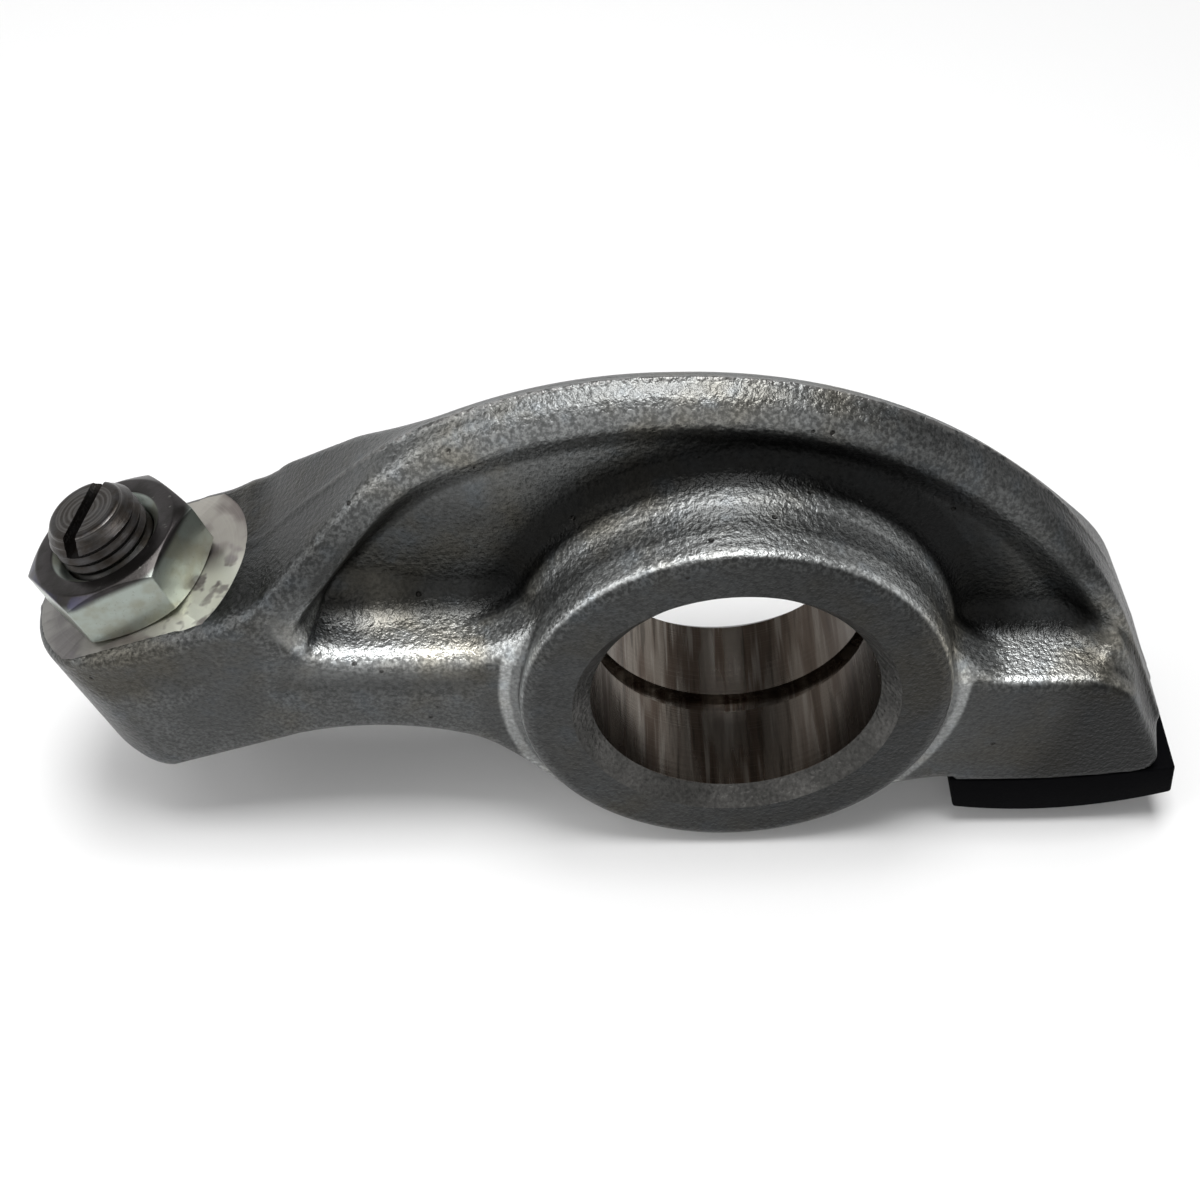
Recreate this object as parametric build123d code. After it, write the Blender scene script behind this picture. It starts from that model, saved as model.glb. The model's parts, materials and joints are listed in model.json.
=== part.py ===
from build123d import *
import os
from math import acos, asin, atan2, cos, degrees, radians, sin, sqrt, tan

# Shaft-mounted rocker arm of an overhead-cam engine: one forging with a brazed slipper pad, an
# adjusting screw and its lock nut.  Millimetres and degrees.  The origin is on the shaft bore's
# axis at the middle of the boss, +Y runs along the bore, +X points to the pad, +Z is up.

# How far a cutting tool reaches past what it cuts.
CUT_MARGIN = 1.0

# ---- shaft boss ----
BORE_DIAMETER = 24.0
BOSS_WALL = 5.7
BOSS_LENGTH = 21.3
BOSS_DRAFT = 4.5
BORE_MOUTH_CHAMFER = 1.5
BOSS_OVERLAP = 7.0
OIL_GROOVE_WIDTH = 2.0
OIL_GROOVE_DEPTH = 0.9

# ---- arm forging ----
FLANGE_WIDTH = 17.6
WEB_THICKNESS = 4.0
RIM_WIDTH = 6.2
RIM_DEPTH = 3.8
POCKET_DEPTH = 5.1
RIM_CROWN_ANGLE = 22.0
RIM_EDGE_RADIUS = 0.8
ARCH_RADIUS = 41.3
ARCH_CENTRE_X = -5.6
ARCH_CENTRE_Z = -14.7
ARCH_FLAT = 1.25
HUMP_ANGLE = 123.8
SHOULDER_ANGLE = 24.0
LEFT_LEDGE_Z = 4.3
RIGHT_LEDGE_Z = 0.5
PAD_BLOCK_DRAFT = 7.5
UNDERSIDE_Z = -4.8
BELLY_ANGLE = 218.0
FLARE_LENGTH = 12.0
FLARE_SETBACK = 2.0
FLARE_ROOT_DEPTH = 4.0
LEDGE_UNDERCUT = 1.0
POCKET_TIP_RADIUS = 2.2
POCKET_TIP_ARC_IN_RADII = 3.0
LEDGE_BLEND_RADIUS = 5.0
SHOULDER_BLEND_RADIUS = 3.0
TOE_RADIUS = 2.4

# ---- screw block, square to the tilted screw axis ----
SCREW_REACH = 44.8
SCREW_TILT = 19.8
SPOT_FACE_HEIGHT = 21.85
SPOT_FACE_RADIUS = 10.3
SPOT_FACE_STEP = 0.4
BLOCK_HEIGHT = 14.4
BLOCK_END_RADIUS = 9.6
BLOCK_FOOT_LENGTH = 8.8
BLOCK_FOOT_RADIUS = 3.0

# ---- adjusting screw and lock nut ----
SCREW_DIAMETER = 8.0
THREAD_CLEARANCE = 0.05
SCREW_TIP_ABOVE_NUT = 3.2
SCREW_TIP_DIAMETER = 6.3
SCREW_TIP_CHAMFER = 1.1
SCREW_TIP_EDGE_RADIUS = 0.35
SLOT_WIDTH = 1.2
SLOT_DEPTH = 1.7
SLOT_ANGLE = 75.0
SCREW_POINT_BELOW_BLOCK = 5.8
SCREW_POINT_DIAMETER = 6.0
SCREW_POINT_LENGTH = 3.0
SCREW_POINT_RADIUS = 5.0
NUT_ACROSS_FLATS = 13.0
NUT_HEIGHT = 5.3
NUT_CHAMFER_ANGLE = 32.0
NUT_FACE_DIAMETER = 12.6
NUT_COUNTERSINK = 0.87
NUT_ANGLE = 10.6

# ---- slipper pad ----
PAD_SEAT_Z = -12.5
PAD_SEAT_RADIUS = 75.0
PAD_SEAT_CENTRE_X = 24.0
PAD_THICKNESS = 4.4
PAD_FACE_RADIUS = 35.0
PAD_FACE_CENTRE_X = 26.7
PAD_LENGTH = 19.6
PAD_END_X = 39.04
PAD_END_SLANT = 0.8
PAD_CORNER_RADIUS = 0.6

# ---- places worked out from the driving dimensions ----
BORE_RADIUS = BORE_DIAMETER / 2
BOSS_RADIUS = BORE_RADIUS + BOSS_WALL
FLANGE_HALF = FLANGE_WIDTH / 2
RIM_HALF = RIM_WIDTH / 2
WEB_HALF = WEB_THICKNESS / 2
POCKET_RADIUS = ARCH_RADIUS - POCKET_DEPTH
RIM_INNER_RADIUS = ARCH_RADIUS - RIM_DEPTH
SCREW_RADIUS = SCREW_DIAMETER / 2
# The flanges and the web start inside the boss, this far from its axis.
INSIDE_BOSS = BOSS_RADIUS - BOSS_OVERLAP

TILT = radians(SCREW_TILT)
# The foot of the perpendicular from the bore axis to the screw axis.
SCREW_FOOT = (-SCREW_REACH * cos(TILT), -SCREW_REACH * sin(TILT))


def screw_point(across, along):
    """Side-view place: across the screw axis towards the boss, and along it from its foot."""
    x = SCREW_FOOT[0] + across * cos(TILT) - along * sin(TILT)
    z = SCREW_FOOT[1] + across * sin(TILT) + along * cos(TILT)
    return (x, z)


def screw_plane(along):
    """Plane square to the screw axis, its X towards the boss and its Y along the bore."""
    x, z = screw_point(0, along)
    return Plane(origin=(x, 0, z), x_dir=(cos(TILT), 0, sin(TILT)), z_dir=(-sin(TILT), 0, cos(TILT)))


def arch_point(angle, radius=ARCH_RADIUS):
    """Side-view place on the arch, or on a curve inside it, at an angle from +X.

    The arch is two arcs of one radius, with a short flat between them at its top.
    """
    centre_x = ARCH_CENTRE_X + (ARCH_FLAT if angle < 90 else 0)
    x = centre_x + radius * cos(radians(angle))
    z = ARCH_CENTRE_Z + radius * sin(radians(angle))
    return (x, z)


def arch_arc(start, end, radius=ARCH_RADIUS):
    """Arc of the arch between two angles on the same side of its top."""
    return ThreePointArc(
        arch_point(start, radius), arch_point((start + end) / 2, radius), arch_point(end, radius)
    )


def arch_over(left, right, radius=ARCH_RADIUS):
    """The arch's edges from an angle on the left, over the top, to an angle on the right."""
    top_left = (ARCH_CENTRE_X, ARCH_CENTRE_Z + radius)
    top_right = (ARCH_CENTRE_X + ARCH_FLAT, ARCH_CENTRE_Z + radius)
    middle_left = arch_point((left + 90) / 2, radius)
    middle_right = arch_point((right + 90) / 2, radius)
    return [
        ThreePointArc(arch_point(left, radius), middle_left, top_left),
        Line(top_left, top_right),
        ThreePointArc(top_right, middle_right, arch_point(right, radius)),
    ]


def side_sketch(edges):
    """Closed outline drawn in side view, with X across and Z up."""
    return make_face(edges)


def slab(sketch, half_width):
    """Side-view sketch made solid across the arm, the same to both sides of its middle."""
    return extrude(Plane.XZ * sketch, amount=half_width, both=True)


def corner(sketch, point):
    """The vertex of a sketch that lies nearest to a place."""
    return min(sketch.vertices(), key=lambda v: (v.X - point[0]) ** 2 + (v.Y - point[1]) ** 2)


def rounded(sketch, point, radius):
    """Sketch with one of its corners rounded."""
    return fillet(corner(sketch, point), radius)


# The right end: the arch runs out on its tangent down to the pad seat.  The block there is
# drafted, so its end and its ledge fall back by the draft step from the middle to each side.
SHOULDER = arch_point(SHOULDER_ANGLE)
DRAFT_STEP = FLANGE_HALF * tan(radians(PAD_BLOCK_DRAFT))
SIDE_SHOULDER = arch_point(SHOULDER_ANGLE, ARCH_RADIUS - DRAFT_STEP)
SEAT_CENTRE = (PAD_SEAT_CENTRE_X, PAD_SEAT_Z + PAD_SEAT_RADIUS)


def seat_z(x):
    """Height of the curved pad seat."""
    return SEAT_CENTRE[1] - sqrt(PAD_SEAT_RADIUS**2 - (x - SEAT_CENTRE[0]) ** 2)


def toe_point(shoulder):
    """Where the tangent from a shoulder meets the pad seat's circle."""
    run = (sin(radians(SHOULDER_ANGLE)), -cos(radians(SHOULDER_ANGLE)))
    gap = (shoulder[0] - SEAT_CENTRE[0], shoulder[1] - SEAT_CENTRE[1])
    along = gap[0] * run[0] + gap[1] * run[1]
    reach = gap[0] ** 2 + gap[1] ** 2 - PAD_SEAT_RADIUS**2
    step = -along + sqrt(along**2 - reach)
    return (shoulder[0] + step * run[0], shoulder[1] + step * run[1])


TOE = toe_point(SHOULDER)
SIDE_TOE = toe_point(SIDE_SHOULDER)
HUMP = arch_point(HUMP_ANGLE)
SPOT_EDGE = screw_point(SPOT_FACE_RADIUS, SPOT_FACE_HEIGHT)
HUMP_FOOT = screw_point(SPOT_FACE_RADIUS - SPOT_FACE_STEP, SPOT_FACE_HEIGHT)
BLOCK_FOOT_HEIGHT = SPOT_FACE_HEIGHT - BLOCK_HEIGHT
FOOT_END = screw_point(BLOCK_FOOT_LENGTH, BLOCK_FOOT_HEIGHT)
# Angles, about the arch centre, a little below the ledges at the pocket's two ends.
TIP_ANGLE = 180 - degrees(asin((LEFT_LEDGE_Z - LEDGE_UNDERCUT - ARCH_CENTRE_Z) / POCKET_RADIUS))
BLOCK_ANGLE = degrees(asin((RIGHT_LEDGE_Z - LEDGE_UNDERCUT - ARCH_CENTRE_Z) / POCKET_RADIUS))
TIP_LEDGE_ANGLE = 180 - degrees(asin((LEFT_LEDGE_Z - ARCH_CENTRE_Z) / POCKET_RADIUS))
POCKET_TIP = arch_point(TIP_LEDGE_ANGLE, POCKET_RADIUS)


def boss_circle_point(angle):
    """Side-view place on the boss's outer circle."""
    return (BOSS_RADIUS * cos(radians(angle)), BOSS_RADIUS * sin(radians(angle)))


def left_flange():
    """Screw block's inner part and the lower flange, at full width, with the rounded pocket tip."""
    block_top = screw_point(0, SPOT_FACE_HEIGHT)
    block_bottom = screw_point(0, BLOCK_FOOT_HEIGHT)
    belly_end = boss_circle_point(BELLY_ANGLE)
    belly_middle = ((FOOT_END[0] + belly_end[0]) / 2, UNDERSIDE_Z)
    # The arc that closes the pocket is a few roundings long, so its corner can be rounded.
    tip_arc_length = POCKET_TIP_ARC_IN_RADII * POCKET_TIP_RADIUS
    tip_top_angle = TIP_LEDGE_ANGLE - degrees(tip_arc_length / POCKET_RADIUS)
    ledge_start = (-INSIDE_BOSS, LEFT_LEDGE_Z)
    edges = [
        Line(block_top, HUMP_FOOT),
        Line(HUMP_FOOT, arch_point(tip_top_angle, POCKET_RADIUS)),
        arch_arc(tip_top_angle, TIP_LEDGE_ANGLE, POCKET_RADIUS),
        Line(POCKET_TIP, ledge_start),
        Line(ledge_start, (-INSIDE_BOSS, belly_end[1])),
        Line((-INSIDE_BOSS, belly_end[1]), belly_end),
        ThreePointArc(belly_end, belly_middle, FOOT_END),
        Line(FOOT_END, block_bottom),
        Line(block_bottom, block_top),
    ]
    return rounded(side_sketch(edges), POCKET_TIP, POCKET_TIP_RADIUS)


def ledge_end(shoulder, ledge_z):
    """Where a ledge over the pad runs out onto the block's end."""
    return (shoulder[0] + (shoulder[1] - ledge_z) * tan(radians(SHOULDER_ANGLE)), ledge_z)


def right_block():
    """Outline of the block over the pad at its side faces, with its rounded shoulder and toe."""
    end = ledge_end(SIDE_SHOULDER, RIGHT_LEDGE_Z)
    seat_start = (INSIDE_BOSS, seat_z(INSIDE_BOSS))
    seat_middle = ((INSIDE_BOSS + SIDE_TOE[0]) / 2, seat_z((INSIDE_BOSS + SIDE_TOE[0]) / 2))
    edges = [
        Line((INSIDE_BOSS, RIGHT_LEDGE_Z), end),
        Line(end, SIDE_TOE),
        ThreePointArc(SIDE_TOE, seat_middle, seat_start),
        Line(seat_start, (INSIDE_BOSS, RIGHT_LEDGE_Z)),
    ]
    sketch = rounded(side_sketch(edges), end, SHOULDER_BLEND_RADIUS)
    return rounded(sketch, SIDE_TOE, TOE_RADIUS)


def drafted_block():
    """The same block with its draft: fullest at the middle, where it meets the arch's own end."""
    ledge_z = RIGHT_LEDGE_Z + DRAFT_STEP
    end = ledge_end(SHOULDER, ledge_z)
    below = PAD_SEAT_Z - PAD_THICKNESS
    foot = ledge_end(SHOULDER, below)
    edges = [
        Line((INSIDE_BOSS, ledge_z), end),
        Line(end, foot),
        Line(foot, (INSIDE_BOSS, below)),
        Line((INSIDE_BOSS, below), (INSIDE_BOSS, ledge_z)),
    ]
    outline = rounded(side_sketch(edges), end, SHOULDER_BLEND_RADIUS + DRAFT_STEP)
    half = extrude(Plane.XZ * outline, amount=FLANGE_HALF, taper=PAD_BLOCK_DRAFT)
    seat = Cylinder(PAD_SEAT_RADIUS, FLANGE_WIDTH + CUT_MARGIN, rotation=(90, 0, 0))
    half &= Pos(SEAT_CENTRE[0], 0, SEAT_CENTRE[1]) * seat
    toe = min(half.edges(), key=lambda edge: (edge.center() - Vector(TOE[0], 0, TOE[1])).length)
    half = fillet(toe, TOE_RADIUS)
    return half + mirror(half, about=Plane.XZ)


def flange_sketch():
    """Everything of the arm that has the full width, with its blends into the boss."""
    sketch = left_flange() + right_block() + Circle(BOSS_RADIUS)
    left_meet = (-sqrt(BOSS_RADIUS**2 - LEFT_LEDGE_Z**2), LEFT_LEDGE_Z)
    right_meet = (sqrt(BOSS_RADIUS**2 - RIGHT_LEDGE_Z**2), RIGHT_LEDGE_Z)
    sketch = rounded(sketch, left_meet, LEDGE_BLEND_RADIUS)
    return rounded(sketch, right_meet, LEDGE_BLEND_RADIUS)


def arch_sketch():
    """The arched plate from the hump to the toe, down to the boss and the flanges."""
    block_top = screw_point(0, SPOT_FACE_HEIGHT)
    web_foot = screw_point(0, BLOCK_FOOT_HEIGHT + WEB_THICKNESS)
    web_inner = (-INSIDE_BOSS, UNDERSIDE_Z + WEB_THICKNESS)
    below_bore = (0, TOE[1])
    edges = [
        Line(block_top, HUMP_FOOT),
        Line(HUMP_FOOT, HUMP),
        *arch_over(HUMP_ANGLE, SHOULDER_ANGLE),
        Line(SHOULDER, TOE),
        Line(TOE, below_bore),
        Line(below_bore, web_inner),
        Line(web_inner, web_foot),
        Line(web_foot, block_top),
    ]
    return rounded(side_sketch(edges), TOE, TOE_RADIUS)


def flare():
    """The rim's left end, widening in plan from the crest to the full width of the screw block."""
    start_x = SPOT_EDGE[0] + FLARE_SETBACK
    slope = (FLANGE_HALF - RIM_HALF) / FLARE_LENGTH
    crest_x = start_x + FLANGE_HALF / slope
    foot = screw_point(0, SPOT_FACE_HEIGHT - FLARE_ROOT_DEPTH)
    band_start = degrees(atan2(foot[1] - ARCH_CENTRE_Z, foot[0] - ARCH_CENTRE_X))
    band_end = degrees(acos((crest_x - ARCH_CENTRE_X) / ARCH_RADIUS))
    side = side_sketch(
        [
            Line(foot, screw_point(0, SPOT_FACE_HEIGHT)),
            Line(screw_point(0, SPOT_FACE_HEIGHT), HUMP_FOOT),
            Line(HUMP_FOOT, HUMP),
            arch_arc(HUMP_ANGLE, band_end),
            Line(arch_point(band_end), arch_point(band_end, POCKET_RADIUS)),
            arch_arc(band_end, TIP_ANGLE, POCKET_RADIUS),
            Line(arch_point(TIP_ANGLE, POCKET_RADIUS), foot),
        ]
    )
    plan = make_face(
        Polyline(
            (foot[0], FLANGE_HALF),
            (start_x, FLANGE_HALF),
            (crest_x, 0),
            (start_x, -FLANGE_HALF),
            (foot[0], -FLANGE_HALF),
            close=True,
        )
    )
    return slab(side, FLANGE_HALF) & extrude(plan, amount=ARCH_RADIUS, both=True)


def screw_block():
    """Block round the screw, its end a half round about the screw axis, faced square on top."""
    low = (Align.CENTER, Align.CENTER, Align.MIN)
    end = Cylinder(BLOCK_END_RADIUS, BLOCK_HEIGHT, align=low)
    end = fillet(end.edges().sort_by(Axis.Z)[0], BLOCK_FOOT_RADIUS)
    beside = (Align.MIN, Align.CENTER, Align.MIN)
    inner = Box(BLOCK_FOOT_LENGTH, FLANGE_WIDTH, BLOCK_HEIGHT, align=beside)
    across_end = 2 * (BLOCK_END_RADIUS + CUT_MARGIN)
    block = end & Box(across_end, FLANGE_WIDTH, BLOCK_HEIGHT, align=low)
    return screw_plane(BLOCK_FOOT_HEIGHT) * (block + inner)


def boss():
    """Round boss, tapering a little from the middle to each thrust face."""
    middle_radius = BOSS_RADIUS + BOSS_LENGTH / 2 * tan(radians(BOSS_DRAFT))
    half = extrude(Plane.XZ * Circle(middle_radius), amount=BOSS_LENGTH / 2, taper=BOSS_DRAFT)
    return half + mirror(half, about=Plane.XZ)


def arch():
    """Web and rim: the rim is crowned to the parting line and stands proud of the web."""
    half = extrude(Plane.XZ * arch_sketch(), amount=RIM_HALF, taper=RIM_CROWN_ANGLE)
    rim = half + mirror(half, about=Plane.XZ)
    rim = fillet(face_edges(rim, RIM_HALF), RIM_EDGE_RADIUS)
    field = make_face(
        [
            *arch_over(TIP_ANGLE, BLOCK_ANGLE, RIM_INNER_RADIUS),
            Line(arch_point(BLOCK_ANGLE, RIM_INNER_RADIUS), (0, 0)),
            Line((0, 0), arch_point(TIP_ANGLE, RIM_INNER_RADIUS)),
        ]
    )
    recess = extrude(Plane.XZ.offset(WEB_HALF) * field, amount=RIM_HALF)
    return rim - recess - mirror(recess, about=Plane.XZ)


def bore_tool():
    """What the bore takes out: the bore, its two mouth chamfers and the oil groove round it."""
    mouth_radius = BORE_RADIUS + BORE_MOUTH_CHAMFER
    half_length = BOSS_LENGTH / 2
    profile = Polyline(
        (0, -half_length),
        (mouth_radius, -half_length),
        (BORE_RADIUS, BORE_MOUTH_CHAMFER - half_length),
        (BORE_RADIUS, -OIL_GROOVE_WIDTH / 2),
        (BORE_RADIUS + OIL_GROOVE_DEPTH, -OIL_GROOVE_WIDTH / 2),
        (BORE_RADIUS + OIL_GROOVE_DEPTH, OIL_GROOVE_WIDTH / 2),
        (BORE_RADIUS, OIL_GROOVE_WIDTH / 2),
        (BORE_RADIUS, half_length - BORE_MOUTH_CHAMFER),
        (mouth_radius, half_length),
        (0, half_length),
        close=True,
    )
    return revolve(make_face(profile), axis=Axis.Y)


def face_edges(solid, half_width):
    """Edges round the two flat side faces of a solid."""
    sides = solid.faces().filter_by(Axis.Y)
    chosen = ShapeList()
    for side in sides:
        if abs(abs(side.center().Y) - half_width) < 0.01:
            chosen += side.edges()
    return chosen


def rocker_body():
    """The one-piece forging with its machined bore, spot face and screw hole."""
    flange = slab(flange_sketch(), FLANGE_HALF)
    body = flange + drafted_block() + screw_block() + flare() + arch() + boss()
    facing = Cylinder(SPOT_FACE_RADIUS, BLOCK_HEIGHT, align=(Align.CENTER, Align.CENTER, Align.MIN))
    body -= screw_plane(SPOT_FACE_HEIGHT) * facing
    screw_hole = Cylinder(SCREW_RADIUS, 2 * (BLOCK_HEIGHT + CUT_MARGIN))
    body -= screw_plane(SPOT_FACE_HEIGHT) * screw_hole
    body -= bore_tool()
    return body


def slipper_pad():
    """Hard pad: its top fits the block's curved seat, its rounded face rubs on the cam."""
    left_x = PAD_END_X - PAD_LENGTH
    face_z = PAD_SEAT_Z - PAD_THICKNESS
    face_centre_z = face_z + PAD_FACE_RADIUS

    def face_point(x):
        return (x, face_centre_z - sqrt(PAD_FACE_RADIUS**2 - (x - PAD_FACE_CENTRE_X) ** 2))

    def seat_point(x):
        return (x, seat_z(x))

    middle_x = (left_x + PAD_END_X) / 2
    low_left = face_point(left_x + PAD_END_SLANT)
    low_right = face_point(PAD_END_X + PAD_END_SLANT / 2)
    sketch = side_sketch(
        [
            ThreePointArc(seat_point(left_x), seat_point(middle_x), seat_point(PAD_END_X)),
            Line(seat_point(PAD_END_X), low_right),
            ThreePointArc(low_right, face_point(middle_x), low_left),
            Line(low_left, seat_point(left_x)),
        ]
    )
    sketch = rounded(sketch, low_left, PAD_CORNER_RADIUS)
    sketch = rounded(sketch, low_right, PAD_CORNER_RADIUS)
    return slab(sketch, FLANGE_HALF)


def adjusting_screw():
    """Slotted screw: tip above the nut, threaded shank, and a rounded point below the block."""
    shank_radius = SCREW_RADIUS - THREAD_CLEARANCE
    tip_radius = SCREW_TIP_DIAMETER / 2
    point_radius = SCREW_POINT_DIAMETER / 2
    top = NUT_HEIGHT + SCREW_TIP_ABOVE_NUT
    bottom = -BLOCK_HEIGHT - SCREW_POINT_BELOW_BLOCK
    dome = SCREW_POINT_RADIUS - sqrt(SCREW_POINT_RADIUS**2 - point_radius**2)
    half_dome = point_radius / 2
    dome_rise = SCREW_POINT_RADIUS - sqrt(SCREW_POINT_RADIUS**2 - half_dome**2)
    neck = bottom + SCREW_POINT_LENGTH
    relief = shank_radius - point_radius
    outline = [
        Line((0, top), (tip_radius, top)),
        Line((tip_radius, top), (shank_radius, top - SCREW_TIP_CHAMFER)),
        Line((shank_radius, top - SCREW_TIP_CHAMFER), (shank_radius, neck + relief)),
        Line((shank_radius, neck + relief), (point_radius, neck)),
        Line((point_radius, neck), (point_radius, bottom + dome)),
        ThreePointArc((point_radius, bottom + dome), (half_dome, bottom + dome_rise), (0, bottom)),
        Line((0, bottom), (0, top)),
    ]
    profile = rounded(make_face(outline), (tip_radius, top), SCREW_TIP_EDGE_RADIUS)
    screw = revolve(Plane.XZ * profile, axis=Axis.Z)
    low = (Align.CENTER, Align.CENTER, Align.MIN)
    slot = Box(SCREW_DIAMETER + CUT_MARGIN, SLOT_WIDTH, SLOT_DEPTH + CUT_MARGIN, align=low)
    slot = Pos(0, 0, top - SLOT_DEPTH) * Rot(0, 0, SLOT_ANGLE) * slot
    return screw_plane(SPOT_FACE_HEIGHT) * (screw - slot)


def lock_nut():
    """Hex nut with both ends chamfered and countersunk, seated on the spot face."""
    corner_radius = NUT_ACROSS_FLATS / sqrt(3)
    face_radius = NUT_FACE_DIAMETER / 2
    outer_radius = corner_radius + CUT_MARGIN
    drop = (outer_radius - face_radius) * tan(radians(NUT_CHAMFER_ANGLE))
    hexagon = extrude(RegularPolygon(corner_radius, 6, rotation=NUT_ANGLE), amount=NUT_HEIGHT)
    turned = revolve(
        Plane.XZ
        * make_face(
            Polyline(
                (SCREW_RADIUS + NUT_COUNTERSINK, 0),
                (face_radius, 0),
                (outer_radius, drop),
                (outer_radius, NUT_HEIGHT - drop),
                (face_radius, NUT_HEIGHT),
                (SCREW_RADIUS + NUT_COUNTERSINK, NUT_HEIGHT),
                (SCREW_RADIUS, NUT_HEIGHT - NUT_COUNTERSINK),
                (SCREW_RADIUS, NUT_COUNTERSINK),
                close=True,
            )
        ),
        axis=Axis.Z,
    )
    return screw_plane(SPOT_FACE_HEIGHT) * (hexagon & turned)


def main():
    """Write each piece to its own file."""
    os.makedirs("parts", exist_ok=True)
    pieces = {
        "rocker_body": rocker_body(),
        "slipper_pad": slipper_pad(),
        "adjusting_screw": adjusting_screw(),
        "lock_nut": lock_nut(),
    }
    for name, piece in pieces.items():
        export_step(piece, f"parts/{name}.step")


main()
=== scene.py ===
import json
from math import cos, pi, radians, sin, sqrt, tan
from types import SimpleNamespace

import bmesh
import bpy
import numpy as np
from bpy.props import FloatProperty, FloatVectorProperty, PointerProperty
from mathutils import Matrix, Vector


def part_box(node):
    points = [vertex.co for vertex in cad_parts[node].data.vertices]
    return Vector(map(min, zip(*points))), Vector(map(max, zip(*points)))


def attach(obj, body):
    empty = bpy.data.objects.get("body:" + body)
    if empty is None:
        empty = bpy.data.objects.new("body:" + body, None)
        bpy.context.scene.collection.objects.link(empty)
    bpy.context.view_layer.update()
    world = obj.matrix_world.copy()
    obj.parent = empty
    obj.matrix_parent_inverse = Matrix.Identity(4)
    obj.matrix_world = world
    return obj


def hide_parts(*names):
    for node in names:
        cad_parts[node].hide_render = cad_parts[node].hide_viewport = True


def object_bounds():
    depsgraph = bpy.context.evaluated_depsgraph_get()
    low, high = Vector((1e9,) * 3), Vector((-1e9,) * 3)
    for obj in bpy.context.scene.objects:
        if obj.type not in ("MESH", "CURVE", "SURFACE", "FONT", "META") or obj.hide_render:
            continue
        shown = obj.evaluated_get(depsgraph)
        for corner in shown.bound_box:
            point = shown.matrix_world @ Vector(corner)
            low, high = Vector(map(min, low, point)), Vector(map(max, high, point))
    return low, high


bl_info = {
    "name": "Rocker Arm",
    "version": (1, 0, 0),
    "blender": (4, 5, 0),
    "location": "View3D > Sidebar > Rocker Arm",
    "description": "Builds a forged rocker arm with its slipper pad, adjusting screw and lock nut",
    "category": "Add Mesh",
}

MM = 0.001
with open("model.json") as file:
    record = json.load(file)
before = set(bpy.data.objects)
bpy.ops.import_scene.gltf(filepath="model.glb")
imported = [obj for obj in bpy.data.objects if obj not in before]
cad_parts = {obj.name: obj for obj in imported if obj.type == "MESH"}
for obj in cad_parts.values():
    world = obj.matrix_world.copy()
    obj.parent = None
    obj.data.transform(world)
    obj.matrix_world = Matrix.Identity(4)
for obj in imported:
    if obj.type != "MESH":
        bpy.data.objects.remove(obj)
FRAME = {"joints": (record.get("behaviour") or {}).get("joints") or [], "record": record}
START_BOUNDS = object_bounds()


def named(items, name):
    """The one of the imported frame's joints or mounts that has this name."""
    return next(item for item in items if item["name"] == name)


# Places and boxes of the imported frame, in metres. The screw's own axes run across towards the
# boss, along the bore and up the screw.
SCREW_TURN = named(FRAME["joints"], "screw_turn")
SCREW_SEAT = Vector(SCREW_TURN["pos_m"])
SCREW_UP = Vector(SCREW_TURN["axis"]).normalized()
SCREW_ACROSS = Vector((SCREW_UP.z, 0, -SCREW_UP.x))
SCREW_AXES = (SCREW_ACROSS, Vector((0, 1, 0)), SCREW_UP)
SCREW_PLACE = Matrix.Translation(SCREW_SEAT) @ Matrix(SCREW_AXES).transposed().to_4x4()
PAD_LOW, PAD_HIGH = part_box("slipper_pad")
BODY_LOW, BODY_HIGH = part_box("rocker_body")

# Lengths in millimetres.
BORE_RADIUS = named(FRAME["record"]["mounts"], "shaft_bore")["dims"]["r_mm"]
NUT_TOP = 5.3  # above the spot face
TIP_ABOVE_NUT = 3.2
SCREW_HOLE_RADIUS = 4.05
FORGED_TOP = 0.15  # forged stock above the spot face, which the milling takes away
BOSS_INSIDE = 9  # how near the bore's axis the walls that end inside the boss still reach
RIM_END_Z = -8  # height at which the rim ends over the pad
PAD_SIDE_X = 20  # from here on towards the pad, joins and edges have their own softness
SOFTBOX_SIDE = 200

BELLY_END_ANGLE = radians(218)  # where the hollow underside runs into the boss
THREAD_ROWS = 14  # rows of the screw's mesh in one turn of its thread


def size(name, millimetres, description):
    """A length that a user may change, given in millimetres."""
    return FloatProperty(
        name=name, description=description, default=millimetres * MM, subtype="DISTANCE", unit="LENGTH"
    )


def turn(name, angle, description):
    """An angle that a user may change, given in degrees."""
    return FloatProperty(
        name=name, description=description, default=radians(angle), subtype="ANGLE", unit="ROTATION"
    )


def number(name, default, description):
    """A plain number that a user may change."""
    return FloatProperty(name=name, description=description, default=default)


def colour(name, red, green, blue, description):
    """A colour that a user may change."""
    tint = (red, green, blue)
    return FloatVectorProperty(
        name=name, description=description, default=tint, subtype="COLOR", size=3, min=0, max=1
    )


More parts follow.
